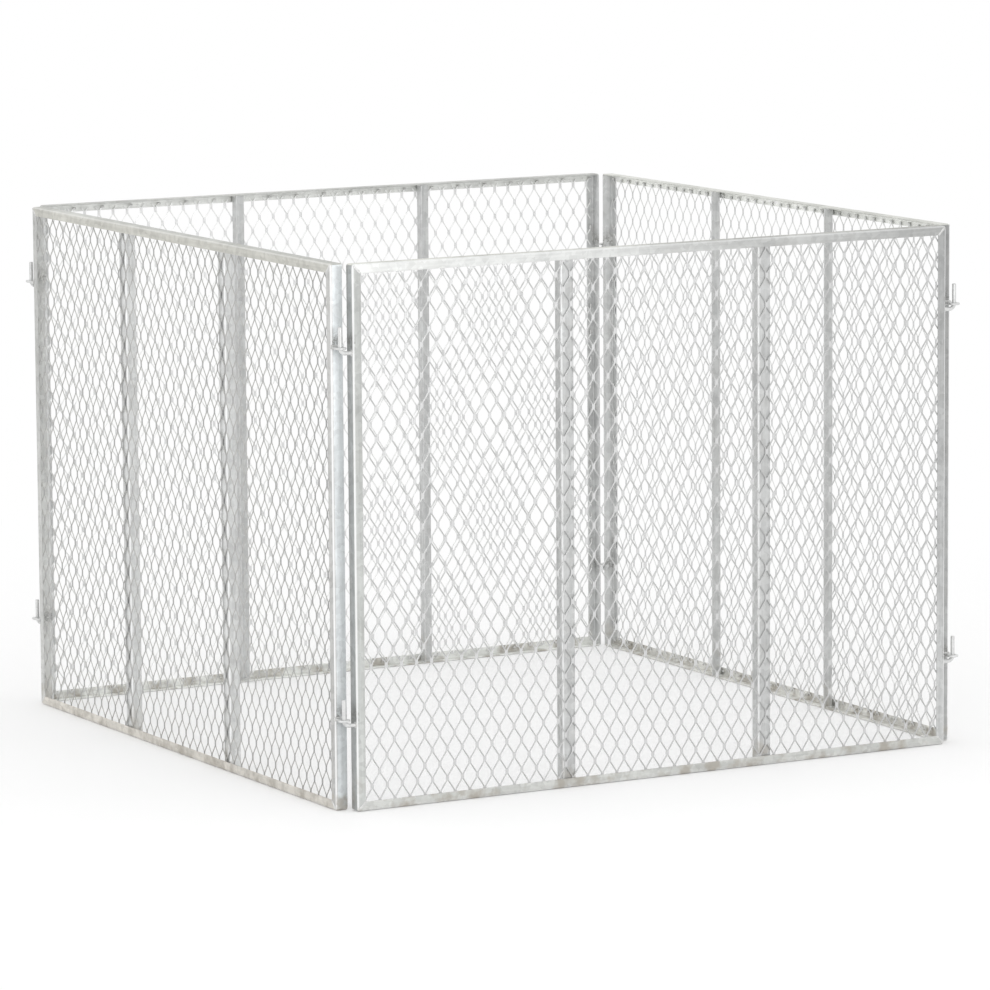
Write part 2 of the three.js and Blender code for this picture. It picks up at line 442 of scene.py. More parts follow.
def calculated(tree, operation, *values):
    """The result of a Math node on one, two or three sockets or numbers."""
    inputs = dict(enumerate(values))
    return add_node(tree, "ShaderNodeMath", inputs, operation=operation).outputs[0]


def remapped(tree, value, start, stop, low=0.0, high=1.0, smooth=False):
    """A value's place between start and stop, taken over to between low and high."""
    ranges = {"From Min": start, "From Max": stop, "To Min": low, "To Max": high}
    return add_node(
        tree,
        "ShaderNodeMapRange",
        {"Value": value, **ranges},
        interpolation_type="SMOOTHSTEP" if smooth else "LINEAR",
    ).outputs["Result"]


def noise(tree, place, density, detail, roughness=0.5):
    """The outputs of a noise texture with so many features to the metre."""
    return add_node(
        tree,
        "ShaderNodeTexNoise",
        {"Vector": place, "Scale": density, "Detail": detail, "Roughness": roughness},
    ).outputs


def shared_group(name, build):
    """A shader node group, built when the first material asks for it."""
    return bpy.data.node_groups.get(name) or build(name)


def spangle_group(name):
    """Zinc crystals: patches with their own tone, cloudiness, and streaks along a direction."""
    group, given, out = new_group(
        name,
        "ShaderNodeTree",
        [
            ("Crystal Size", "Float", 0.007),
            ("Crystal Bend", "Float", 0.003),
            ("Crystal Relief", "Float", 0.35),
            ("Cloud Size", "Float", 0.06),
            ("Streak Density", "Float", 220.0),
            ("Streak Squeeze", "Vector", (1.0, 1.0, 1.0)),
            ("Grain Density", "Float", 900.0),
        ],
        [("Tone", "Float"), ("Cloud", "Float"), ("Streaks", "Float"), ("Height", "Float")],
    )
    place = add_node(group, "ShaderNodeTexCoord").outputs["Object"]
    crystal_density = calculated(group, "DIVIDE", 1.0, given["Crystal Size"])
    bend = noise(group, place, crystal_density, detail=1.0)
    bent = add_node(
        group,
        "ShaderNodeVectorMath",
        {0: bend["Color"], 1: given["Crystal Bend"], 2: place},
        operation="MULTIPLY_ADD",
    )
    crystals = add_node(
        group,
        "ShaderNodeTexVoronoi",
        {"Vector": bent.outputs[0], "Scale": crystal_density, "Randomness": 1.0},
    ).outputs
    tone = add_node(group, "ShaderNodeSeparateColor", {"Color": crystals["Color"]})
    cloud_density = calculated(group, "DIVIDE", 1.0, given["Cloud Size"])
    cloud = noise(group, place, cloud_density, detail=4.0, roughness=0.6)
    squeezed = add_node(
        group, "ShaderNodeVectorMath", {0: place, 1: given["Streak Squeeze"]}, operation="MULTIPLY"
    ).outputs[0]
    streaks = noise(group, squeezed, given["Streak Density"], detail=3.0, roughness=0.55)
    grain = noise(group, place, given["Grain Density"], detail=2.0)
    height = calculated(
        group, "MULTIPLY_ADD", crystals["Distance"], given["Crystal Relief"], grain["Fac"]
    )
    group.links.new(tone.outputs["Red"], out["Tone"])
    group.links.new(cloud["Fac"], out["Cloud"])
    group.links.new(streaks["Fac"], out["Streaks"])
    group.links.new(height, out["Height"])
    return group


def dust_group(name):
    """Where dust and splashed earth cling: low down and in patches."""
    group, given, out = new_group(
        name,
        "ShaderNodeTree",
        [
            ("Reach", "Float", 0.06),
            ("Amount", "Float", 0.6),
            ("Share Higher Up", "Float", 0.1),
            ("Patch Density", "Float", 45.0),
            ("Patches Start", "Float", 0.48),
            ("Patches Full", "Float", 0.66),
        ],
        [("Mask", "Float")],
    )
    place = add_node(group, "ShaderNodeTexCoord").outputs["Object"]
    height = add_node(group, "ShaderNodeSeparateXYZ", {0: place}).outputs["Z"]
    low = remapped(group, height, given["Reach"], 0.0, low=given["Share Higher Up"], smooth=True)
    patches = noise(group, place, given["Patch Density"], detail=5.0)
    spots = remapped(group, patches["Fac"], given["Patches Start"], given["Patches Full"])
    both = calculated(group, "MULTIPLY", low, spots)
    group.links.new(calculated(group, "MULTIPLY", both, given["Amount"]), out["Mask"])
    return group


def scorch_and_shade_group(name):
    """Burnt zinc and painted shade at the bin's corners, on the stiles round the height at which each
    hook or eye is welded on.
    """
    group, given, out = new_group(
        name,
        "ShaderNodeTree",
        [
            ("Lower Weld", "Float", 0.132),
            ("Upper Weld", "Float", 0.645),
            ("Full Distance", "Float", 0.035),
            ("End Distance", "Float", 0.06),
            ("Raggedness", "Float", 0.07),
            ("Speckle Density", "Float", 190.0),
            ("Speckles Start", "Float", 0.45),
            ("Speckles Full", "Float", 0.57),
            ("Share Between", "Float", 0.1),
            ("Corner", "Float", 0.4745),
        ],
        [("Mask", "Float")],
    )
    place = add_node(group, "ShaderNodeTexCoord").outputs["Object"]
    split = add_node(group, "ShaderNodeSeparateXYZ", {0: place}).outputs
    distances = []
    for weld in ("Lower Weld", "Upper Weld"):
        away = calculated(group, "SUBTRACT", split["Z"], given[weld])
        distances.append(calculated(group, "ABSOLUTE", away))
    nearest = calculated(group, "MINIMUM", *distances)
    speckle = noise(group, place, given["Speckle Density"], detail=3.0, roughness=0.65)
    ragged = calculated(group, "MULTIPLY_ADD", speckle["Fac"], given["Raggedness"], nearest)
    band = remapped(group, ragged, given["End Distance"], given["Full Distance"], smooth=True)
    patches = remapped(
        group,
        speckle["Fac"],
        given["Speckles Start"],
        given["Speckles Full"],
        low=given["Share Between"],
    )
    mask = calculated(group, "MULTIPLY", band, patches)
    for axis in ("X", "Y"):
        size = calculated(group, "ABSOLUTE", split[axis])
        inside = calculated(group, "GREATER_THAN", size, given["Corner"])
        mask = calculated(group, "MULTIPLY", mask, inside)
    group.links.new(mask, out["Mask"])
    return group


def zinc(name, colour, crystal, contrast, roughness, grain, dust, spots, squeeze, members):
    """A galvanised finish: crystals, clouds, streaks, painted highlights, and dust low down; on
    frames and struts also painted light and shade by member, and burnt zinc with painted shade at the
    corners.
    """
    look = bpy.context.scene.bin_finish
    material = bpy.data.materials.new(name)
    material.use_nodes = True
    tree = material.node_tree
    shader = tree.nodes["Principled BSDF"].inputs
    crystals = add_node(
        tree,
        "ShaderNodeGroup",
        {"Crystal Size": look.spangle * crystal, "Streak Squeeze": squeeze},
        node_tree=shared_group("zinc_spangle", spangle_group),
    ).outputs
    clouded = calculated(tree, "MULTIPLY_ADD", crystals["Tone"], CRYSTAL_WEIGHT, crystals["Cloud"])
    tone = calculated(tree, "MULTIPLY_ADD", crystals["Streaks"], STREAK_WEIGHT, clouded)
    spread = remapped(tree, tone, *TONE_RANGE)
    dark = [channel * (1.0 - contrast) for channel in colour]
    light = [min(1.0, channel * (1.0 + contrast)) for channel in colour]
    face = blend_colours(tree, spread, dark, light)
    if members:
        # Painted light and shade, tinted per member and leg on the frames and per panel on the
        # struts.
        tint = add_node(tree, "ShaderNodeAttribute", attribute_name="member_tint").outputs
        face = blend_colours(tree, 1.0, face, tint["Color"], "MULTIPLY")
        # Burnt zinc round the welds, and painted shade of the hooks and eyes in the corners between
        # the stiles.
        burn_shade_group = shared_group("weld_scorch", scorch_and_shade_group)
        burn_and_shade = add_node(tree, "ShaderNodeGroup", node_tree=burn_shade_group).outputs
        face = blend_colours(tree, burn_and_shade["Mask"], face, look.scorch_and_shade_colour)
    # Painted highlight: drawn toward the spots' colour where the mesh carries it.
    bright = add_node(tree, "ShaderNodeAttribute", attribute_name="bright_zinc").outputs
    face = blend_colours(tree, bright["Fac"], face, spots)
    dusty = shared_group("ground_dust", dust_group)
    dirt = add_node(tree, "ShaderNodeGroup", {"Amount": dust}, node_tree=dusty).outputs
    face = blend_colours(tree, dirt["Mask"], face, look.dust_colour)
    tree.links.new(face, shader["Base Color"])
    rough = remapped(
        tree, spread, 0.0, 1.0, low=roughness + DARK_ROUGHER, high=roughness - LIGHT_SMOOTHER
    )
    tree.links.new(rough, shader["Roughness"])
    shader["Metallic"].default_value = look.metallic
    bump = add_node(
        tree,
        "ShaderNodeBump",
        {"Strength": grain, "Distance": GRAIN_HEIGHT, "Height": crystals["Height"]},
    )
    tree.links.new(bump.outputs["Normal"], shader["Normal"])
    return material


def material_of(kind, panel=None):
    """The finish of one kind of piece, or of one panel's sheet, made when first asked for."""
    name = "zinc_on_" + (panel + "_" + kind if panel else kind)
    found = bpy.data.materials.get(name)
    if found:
        return found
    look = bpy.context.scene.bin_finish
    setting, *values = ZINC_KINDS[kind]
    colour = getattr(look, setting)
    # The colour of the painted highlight; on a sheet it runs from painted shade to highlight.
    spots = look.highlight_colour
    if panel:
        # Painted light: the sheet's tint, and its joints drawn between painted shade and painted
        # highlight.
        tint, bright = SHEET_LIGHT_TINTS[panel]
        colour = [min(PALEST_SHEET, a * b) for a, b in zip(colour, tint)]
        pairs = zip(look.dark_joint_colour, look.highlight_colour)
        spots = [dull + (light - dull) * bright for dull, light in pairs]
    squeeze = STREAK_SQUEEZE.get(kind, (1.0, 1.0, 1.0))
    return zinc(name, colour, *values, spots, squeeze, kind in STREAK_SQUEEZE)


def finish_piece(name, mesh, materials, panel, slot, *nodes):
    """Puts a finished mesh in its panel's place, ties it to its body and hides the nodes it stands
    for.
    """
    mesh.transform(placement(panel))
    if not mesh.materials:
        for material in materials:
            mesh.materials.append(material)
    piece = bpy.data.objects.new(name, mesh)
    bpy.context.scene.collection.objects.link(piece)
    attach(piece, PANELS[panel][2])
    if nodes:
        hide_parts(*nodes)
    return piece


def mesh_from(name, build, *given, smooth_angle=None):
    """A mesh made by a function that fills a bmesh, with its faces turned outwards."""
    work = bmesh.new()
    build(work, *given)
    bmesh.ops.remove_doubles(work, verts=work.verts, dist=SAME_PLACE)
    bmesh.ops.dissolve_degenerate(work, edges=work.edges, dist=SAME_PLACE)
    bmesh.ops.recalc_face_normals(work, faces=work.faces)
    mesh = bpy.data.meshes.new(name)
    work.to_mesh(mesh)
    work.free()
    if smooth_angle is not None:
        mesh.shade_smooth()
        mesh.set_sharp_from_angle(angle=smooth_angle)
    return mesh


def arc(centre, radius, start, stop, steps):
    """Points of an arc in quarter turns, both ends included."""
    points = []
    for step in range(steps + 1):
        angle = (start + (stop - start) * step / steps) * math.pi / 2
        points.append((centre[0] + radius * math.cos(angle), centre[1] + radius * math.sin(angle)))
    return points


def angle_section(face_leg, inward_leg):
    """Section of a folded angle: distance in from the outer edge, depth, and how much painted
    highlight it carries.
    """
    sizes = bpy.context.scene.bin_frame
    wall = sizes.wall
    fold = sizes.outside_fold
    lip = sizes.edge_round
    heel = (fold, fold)
    # A painted highlight peaks across the outer fold, fainter along the lips.
    rounds = [
        (heel, fold, 2, 3, HEEL_STEPS, 1.0),
        ((face_leg - lip, lip), lip, 3, 4, LIP_STEPS, LIP_HIGHLIGHT),
        ((face_leg - lip, wall - lip), lip, 0, 1, LIP_STEPS, LIP_HIGHLIGHT),
        (heel, fold - wall, 3, 2, HEEL_STEPS // 2, 0.0),
        ((wall - lip, inward_leg - lip), lip, 0, 1, LIP_STEPS, LIP_HIGHLIGHT),
        ((lip, inward_leg - lip), lip, 1, 2, LIP_STEPS, LIP_HIGHLIGHT),
    ]
    section = []
    for centre, radius, start, stop, steps, bright in rounds:
        for i, (across, depth) in enumerate(arc(centre, radius, start, stop, steps)):
            section.append((across, depth, bright * math.sin(math.pi * i / steps) ** 2))
    return section


def bright_ring(work, points, layer):
    """Vertices at some points, each with how much painted highlight it carries."""
    ring = []
    for point, bright in points:
        vertex = work.verts.new(point)
        vertex[layer] = bright
        ring.append(vertex)
    return ring


def bridge(work, rings, closed):
    """Faces between rings of vertices that have the same number of points."""
    pairs = list(zip(rings, rings[1:]))
    if closed:
        pairs.append((rings[-1], rings[0]))
    for one, other in pairs:
        for i in range(len(one)):
            j = (i + 1) % len(one)
            work.faces.new((one[i], one[j], other[j], other[i]))


def frame_loop(work, tints):
    """Four mitred angles welded into one frame, its outer corners ground round."""
    sizes = bpy.context.scene.bin_frame
    corner = sizes.ground_corner
    rings = []
    highlit = {}
    for inset, depth, bright in angle_section(FACE_LEG, INWARD_LEG):
        ring = []
        radius = max(corner - inset, 0.0)
        away = max(corner, inset)
        for turn in range(4):
            right = turn in (0, 3)
            upper = turn in (0, 1)
            middle = (
                (HALF_WIDTH - away) * (1 if right else -1), BIN_HEIGHT - away if upper else away
            )
            for x, z in arc(middle, radius, turn, turn + 1, CORNER_STEPS):
                vertex = work.verts.new((x, depth, z))
                highlit[vertex] = bright
                ring.append(vertex)
        rings.append(ring)
    bridge(work, rings, True)
    bright_layer = work.loops.layers.float.new("bright_zinc")
    tint_layer = work.loops.layers.float_color.new("member_tint")
    for face in work.faces:
        middle = face.calc_center_median()
        from_side = HALF_WIDTH - abs(middle.x)
        from_top = BIN_HEIGHT - middle.z
        on_inward_leg = middle.y > sizes.outside_fold
        upright = from_side < min(from_top, middle.z)
        if upright:
            member = "first" if middle.x < 0 else "last"
        else:
            member = "top" if from_top < middle.z else "bottom"
        face.material_index = 1 if upright else 0
        # Painted light and shade: the member's and leg's tint, times a painted falloff of light along
        # it.
        tint = tints[member][on_inward_leg]
        low_end, high_end = tints[member][2]
        for loop in face.loops:
            place = loop.vert.co
            share = place.z / BIN_HEIGHT if upright else place.x / HALF_WIDTH / 2 + 0.5
            light_falloff = low_end + (high_end - low_end) * share
            # Painted highlight along the folds and lips, fainter on the rails.
            loop[bright_layer] = highlit[loop.vert] * (1.0 if upright else RAIL_HIGHLIGHT)
            loop[tint_layer] = (*[channel * light_falloff for channel in tint], 1.0)


class BIN_OT_frames(bpy.types.Operator):
    """Build the four welded frames of folded angle"""

    bl_idname = "compost_bin.frames"
    bl_label = "Frames"

    def execute(self, context):
        finishes = (material_of("rail"), material_of("upright"))
        for panel, (_, ends, _, _, _) in PANELS.items():
            name = panel + "_frame"
            mesh = mesh_from(name, frame_loop, MEMBER_LIGHT_TINTS[panel], smooth_angle=FOLD_SMOOTH)
            members = ["top_rail", "bottom_rail"] + [end + "_stile" for end in ends]
            nodes = [panel + "_" + member for member in members]
            finish_piece(name, mesh, finishes, panel, ANGLE_SLOT, *nodes)
        return {"FINISHED"}


def strut_bar(work, node, side):
    """One upright of folded angle, its ends cut square."""
    bright_layer = work.verts.layers.float.new("bright_zinc")
    low, high = local_box(node)
    heel = low.x if side > 0 else high.x
    section = angle_section(high.x - low.x, high.y - low.y)
    rings = []
    for z in (low.z, high.z):
        points = [((heel + side * x, low.y + depth, z), bright) for x, depth, bright in section]
        rings.append(bright_ring(work, points, bright_layer))
    bridge(work, rings, False)
    for ring in rings:
        work.faces.new(ring)
    # Painted light: one tint on every face of the strut, by its panel.
    tint_layer = work.faces.layers.float_color.new("member_tint")
    tint = STRUT_LIGHT_TINTS[node.split("_")[0]]
    for face in work.faces:
        face[tint_layer] = (tint, tint, tint, 1.0)


class BIN_OT_struts(bpy.types.Operator):
    """Build the two upright struts inside each panel"""

    bl_idname = "compost_bin.struts"
    bl_label = "Struts"

    def execute(self, context):
        for panel, (_, ends, _, _, side) in PANELS.items():
            for end in ends:
                node = panel + "_" + end + "_strut"
                name = node + "_bar"
                mesh = mesh_from(name, strut_bar, node, side, smooth_angle=FOLD_SMOOTH)
                finish_piece(name, mesh, (material_of("upright"),), panel, ANGLE_SLOT, node)
        return {"FINISHED"}


def strand_joint(work):
    """The piece that repeats: a tilted joint with the near halves of its four strands."""
    sizes = bpy.context.scene.bin_sheet
    bright_layer = work.verts.layers.float.new("bright_zinc")
    across = Vector((math.cos(sizes.tilt), -math.sin(sizes.tilt), 0))
    through = Vector((math.sin(sizes.tilt), math.cos(sizes.tilt), 0))
    width = across * sizes.strand_width
    half_thickness = through * sizes.metal_thickness / 2
    joint_half = sizes.joint_length / 2
    reach = Vector((sizes.diamond_width / 4, 0, sizes.diamond_height / 4))

    def level(middle, start, stop, bright):
        """Four corners of a strand cut level: both faces at one edge, then at the other."""
        corners = [
            middle + width * start - half_thickness,
            middle + width * start + half_thickness,
            middle + width * stop + half_thickness,
            middle + width * stop - half_thickness,
        ]
        return bright_ring(work, [(corner, bright) for corner in corners], bright_layer)

    for right in (False, True):
        start, stop = (0.0, 1.0) if right else (-1.0, 0.0)
        for up in (1, -1):
            foot = Vector((0, 0, up * joint_half))
            tip = Vector((reach.x if right else -reach.x, 0, up * reach.z))
            bend = Vector((tip.x * BEND_OUT, 0, foot.z + (tip.z - foot.z) * BEND_UP))
            turn = (start + stop) / 2 * BEND_TURN
            rings = [
                level(foot, start, stop, JOINT_HIGHLIGHT),
                level(bend, turn - 0.5, turn + 0.5, BEND_HIGHLIGHT),
                level(tip, -0.5, 0.5, 0.0),
            ]
            bridge(work, rings, False)
        low = level(Vector((0, 0, -joint_half)), start, stop, JOINT_HIGHLIGHT)
        high = level(Vector((0, 0, joint_half)), start, stop, JOINT_HIGHLIGHT)
        for side in (1, 2, 3) if right else (0, 1, 3):
            other = (side + 1) % 4
            work.faces.new((low[side], low[other], high[other], high[side]))


def next_geometry(tree, kind, geometry, inputs=None, **settings):
    """The geometry, mesh or curve that a node makes of the one that it is given."""
    return add_node(tree, kind, {0: geometry, **(inputs or {})}, **settings).outputs[0]


def sheet_pattern():
    """Geometry nodes that set a joint at every crossing of a diamond lattice."""
    tree, given, out = new_group(
        "expanded_metal_lattice",
        "GeometryNodeTree",
        [
            ("Joint", "Geometry"),
            ("Diamond Width", "Float"),
            ("Diamond Height", "Float"),
            ("Columns", "Int"),
            ("Rows", "Int"),
            ("Finish", "Material"),
        ],
        [("Sheet", "Geometry")],
    )
    grid_sizes = {}
    halves = []
    for axis, pitch, count in (("X", "Diamond Width", "Columns"), ("Y", "Diamond Height", "Rows")):
        grid_sizes["Size " + axis] = calculated(tree, "MULTIPLY", given[pitch], given[count])
        grid_sizes["Vertices " + axis] = calculated(tree, "ADD", given[count], 1.0)
        halves.append(calculated(tree, "MULTIPLY", given[pitch], 0.5))
    grid = add_node(tree, "GeometryNodeMeshGrid", grid_sizes).outputs["Mesh"]
    quarter_turn = {"Rotation": (math.pi / 2, 0.0, 0.0)}
    upright = next_geometry(tree, "GeometryNodeTransform", grid, quarter_turn)
    step = add_node(tree, "ShaderNodeCombineXYZ", {"X": halves[0], "Z": halves[1]})
    half_step = {"Translation": step.outputs[0]}
    shifted = next_geometry(tree, "GeometryNodeTransform", upright, half_step)
    lattices = add_node(tree, "GeometryNodeJoinGeometry")
    for lattice in (upright, shifted):
        tree.links.new(lattice, lattices.inputs["Geometry"])
    sheet = lattices.outputs["Geometry"]
    for kind, inputs in (
        ("GeometryNodeInstanceOnPoints", {"Instance": given["Joint"]}),
        ("GeometryNodeRealizeInstances", {}),
        ("GeometryNodeMergeByDistance", {"Distance": WELD_APART}),
        ("GeometryNodeSetMaterial", {"Material": given["Finish"]}),
    ):
        sheet = next_geometry(tree, kind, sheet, inputs)
    tree.links.new(sheet, out["Sheet"])
    return tree


def evaluated_mesh(name, mesh, tree, values):
    """Runs a geometry nodes tree on a mesh, with its named inputs set, and keeps the plain result."""
    carrier = bpy.data.objects.new(name, mesh)
    bpy.context.scene.collection.objects.link(carrier)
    modifier = carrier.modifiers.new("pattern", "NODES")
    modifier.node_group = tree
    for item in tree.interface.items_tree:
        if item.in_out == "INPUT" and item.name in values:
            modifier[item.identifier] = values[item.name]
    graph = bpy.context.evaluated_depsgraph_get()
    result = bpy.data.meshes.new_from_object(carrier.evaluated_get(graph))
    result.name = name
    bpy.data.objects.remove(carrier)
    bpy.data.meshes.remove(mesh)
    return result


def cut_to_frame(mesh, shift):
    """Moves the lattice to its place in the panel and shears it off inside the frame's legs."""
    work = bmesh.new()
    work.from_mesh(mesh)
    bmesh.ops.translate(work, verts=work.verts, vec=shift)
    gap = bpy.context.scene.bin_sheet.edge_gap
    for corner, outwards in ((SHEET_LOW, -1), (SHEET_HIGH, 1)):
        edge = corner - Vector((gap, 0, gap)) * outwards
        for axis in (Vector((1, 0, 0)), Vector((0, 0, 1))):
            cut = bmesh.ops.bisect_plane(
                work,
                geom=work.verts[:] + work.edges[:] + work.faces[:],
                plane_co=edge,
                plane_no=axis * outwards,
                clear_outer=True,
            )
            rims = [e for e in cut["geom_cut"] if isinstance(e, bmesh.types.BMEdge)]
            bmesh.ops.holes_fill(work, edges=rims, sides=0)
    bmesh.ops.recalc_face_normals(work, faces=work.faces)
    work.to_mesh(mesh)
    work.free()


class BIN_OT_expanded_metal(bpy.types.Operator):
    """Stretch the raised expanded metal across each panel"""

    bl_idname = "compost_bin.expanded_metal"
    bl_label = "Expanded metal"

    def execute(self, context):
        sizes = context.scene.bin_sheet
        size = SHEET_HIGH - SHEET_LOW
        middle = (SHEET_LOW + SHEET_HIGH) / 2
        spare = 2  # diamonds past the sheet's edges, so that a shifted pattern still fills it
        tree = sheet_pattern()
        for panel in PANELS:
            finish = material_of("sheet", panel)
            mesh = evaluated_mesh(
                panel + "_raised_expanded_metal",
                mesh_from("strand_joint", strand_joint),
                tree,
                {
                    "Diamond Width": sizes.diamond_width,
                    "Diamond Height": sizes.diamond_height,
                    "Columns": math.ceil(size.x / sizes.diamond_width) + spare,
                    "Rows": math.ceil(size.z / sizes.diamond_height) + spare,
                    "Finish": finish,
                },
            )
            across, up = SHEET_SHIFTS[panel]
            cut_to_frame(mesh, middle + Vector((across, 0, up)))
            node = panel + "_expanded_metal"
            finish_piece(mesh.name, mesh, (finish,), panel, SHEET_SLOT, node)
        return {"FINISHED"}


def connector_place(node):
    """A hook's or an eye's box, the way it points, its root, half its width and its axis."""
    low, high = local_box(node)
    outwards = 1 if high.x > 0 else -1
    root_x, outer_x = (low.x, high.x) if outwards > 0 else (high.x, low.x)
    half = (high.y - low.y) / 2
    return low, high, outwards, root_x, half, outer_x - outwards * half, (low.y + high.y) / 2


def hook_rod(work, node):
    """A round rod out of the stile, bent up through a quarter turn, its tip rounded over."""
    sizes = bpy.context.scene.bin_connectors
    bend = sizes.rod_bend
    low, high, outwards, root_x, radius, axis_x, axis_y = connector_place(node)
    middle = Vector((axis_x - outwards * bend, axis_y, low.z + radius + bend))
    depth = Vector((0, 1, 0))
    rings = []

    def station(centre, heading, size):
        """One ring of points round the rod, square to the way it heads."""
        along = Vector((outwards * math.cos(heading), 0, math.sin(heading)))
        up = along.cross(depth)
        ring = []
        for side in range(sizes.rod_sides):
            angle = 2 * math.pi * side / sizes.rod_sides
            offset = depth * math.cos(angle) + up * math.sin(angle)
            ring.append(work.verts.new(centre + offset * size))
        rings.append(ring)

    station(Vector((root_x, axis_y, low.z + radius)), 0.0, radius)
    for step in range(BEND_STEPS + 1):
        heading = step / BEND_STEPS * math.pi / 2
        swing = Vector((outwards * math.sin(heading), 0, -math.cos(heading)))
        station(middle + swing * bend, heading, radius)
    tip = sizes.tip_round
    for across, up in arc((radius - tip, 0.0), tip, 0, 1, TIP_STEPS):
        station(Vector((axis_x, axis_y, high.z - tip + up)), math.pi / 2, across)
    bridge(work, rings, False)
    work.faces.new(rings[0])
    work.faces.new(rings[-1])


def eye_plate(work, node):
    """A flat ring on a shank, cut from plate, with its edges rounded by the zinc."""
    sizes = bpy.context.scene.bin_connectors
    lip = sizes.plate_round
    low, high, outwards, root_x, outer, centre_x, centre_y = connector_place(node)
    hole = outer - sizes.rim
    start = math.asin(sizes.shank / 2 / outer)
    outline = []
    steps = sizes.rod_sides * 2
    for step in range(steps + 1):
        angle = -math.pi + start + 2 * (math.pi - start) * step / steps
        outline.append(Vector((outer * math.cos(angle), outer * math.sin(angle))))
    reach = abs(centre_x - root_x)
    outline.append(Vector((-reach, sizes.shank / 2)))
    outline.append(Vector((-reach, -sizes.shank / 2)))
    circle = [point.normalized() * hole for point in outline]
    rings = []
    for points, shift, z in (
        (circle, lip, low.z),
        (outline, -lip, low.z),
        (outline, 0.0, low.z + lip),
        (outline, 0.0, high.z - lip),
        (outline, -lip, high.z),
        (circle, lip, high.z),
        (circle, 0.0, high.z - lip),
        (circle, 0.0, low.z + lip),
    ):
        ring = []
        for point in points:
            moved = point + point.normalized() * shift
            ring.append(work.verts.new((centre_x + outwards * moved.x, centre_y + moved.y, z)))
        rings.append(ring)
    bridge(work, rings, True)


class BIN_OT_connectors(bpy.types.Operator):
    """Bend the hooks and cut the eyes at the ends of the panels"""

    bl_idname = "compost_bin.connectors"
    bl_label = "Hooks and eyes"

    def execute(self, context):
        shapes = {"hook": hook_rod, "eye": eye_plate}
        for panel, (_, ends, _, connector, _) in PANELS.items():
            for end in ends:
                for level in LEVELS:
                    place = "_".join((panel, end, level))
                    name = place + "_welded_" + connector
                    node = place + "_" + connector
                    mesh = mesh_from(name, shapes[connector], node, smooth_angle=ROD_SMOOTH)
                    finish_piece(name, mesh, (material_of("rod"),), panel, ROD_SLOT, node)
        return {"FINISHED"}


def weld_paths(panel):
    """Every weld of a panel: a line of points and the way the bead faces."""
    _, ends, _, connector, strut_side = PANELS[panel]
    frame_sizes = bpy.context.scene.bin_frame
    wall = frame_sizes.wall
    fold = frame_sizes.outside_fold
    sunk = Vector((0, bpy.context.scene.bin_welds.ripple_radius * SEAM_SUNK, 0))
    paths = []

    def weld(points, *facing):
        """Notes one bead."""
        paths.append(([Vector(point) for point in points], Vector(facing)))

    for side in (-1, 1):
        for up in (-1, 1):
            corner = Vector((side * HALF_WIDTH, 0, BIN_HEIGHT if up > 0 else 0))
            inwards = Vector((-side, 0, -up))
            seam = [corner + inwards * inset for inset in (fold, FACE_LEG - wall / 2)]
            weld([point + sunk for point in seam], 0, -1, 0)
            root = corner + inwards * wall
            depths = (fold, INWARD_LEG - wall)
            weld([root + Vector((0, depth, 0)) for depth in depths], *inwards)
    for end in ends:
        low, high = local_box(panel + "_" + end + "_strut")
        heel, toe = (low.x, high.x) if strut_side > 0 else (high.x, low.x)
        back = low.y + wall
        for z, up in ((low.z, 1), (high.z, -1)):
            weld([(heel + strut_side * fold, back, z), (toe, back, z)], 0, 1, up)
            for x, facing in ((heel, -strut_side), (heel + strut_side * wall, strut_side)):
                weld([(x, low.y + fold, z), (x, INWARD_LEG - wall, z)], facing, 0, up)
        weld([(heel, low.y, low.z), (toe, low.y, low.z)], 0, -1, 1)
        for level in LEVELS:
            root_low, root_high = local_box("_".join((panel, end, level, connector)))
            outwards = 1 if root_high.x > 0 else -1
            middle = (root_low.y + root_high.y) / 2
            if connector == "hook":
                half = (root_high.y - root_low.y) / 2
                ring = arc((middle, root_low.z + half), half, 0, 4, ROOT_STEPS)
            else:
                half = bpy.context.scene.bin_connectors.shank / 2
                ring = [
                    (middle - half, root_low.z),
                    (middle + half, root_low.z),
                    (middle + half, root_high.z),
                    (middle - half, root_high.z),
                    (middle - half, root_low.z),
                ]
            weld([(outwards * HALF_WIDTH, depth, z) for depth, z in ring], outwards, 0, 0)
    return paths


def tack_paths():
    """The tacks that hold the expanded metal to the frame's legs, seen from inside the bin."""
    sheet = bpy.context.scene.bin_sheet
    welds = bpy.context.scene.bin_welds
    inset = (FACE_LEG + bpy.context.scene.bin_frame.outside_fold) / 2
    depth = SHEET_HIGH.y
    middle = (SHEET_LOW + SHEET_HIGH) / 2
    along = Vector((welds.tack_length / 2, 0, 0))
    upwards = Vector((0, 0, welds.tack_length / 2))
    facing = Vector((0, 1, 0))
    paths = []
    step = sheet.diamond_width * welds.tack_spacing
    columns = int((HALF_WIDTH - inset) / step)
    for column in range(-columns, columns + 1):
        for z in (inset, BIN_HEIGHT - inset):
            spot = Vector((middle.x + column * step, depth, z))
            paths.append(([spot - along, spot + along], facing))
    rows = int((BIN_HEIGHT / 2 - inset) / sheet.diamond_height)
    for row in range(-rows, rows + 1):
        for x in (inset - HALF_WIDTH, HALF_WIDTH - inset):
            spot = Vector((x, depth, middle.z + row * sheet.diamond_height))
            paths.append(([spot - upwards, spot + upwards], facing))
    return paths


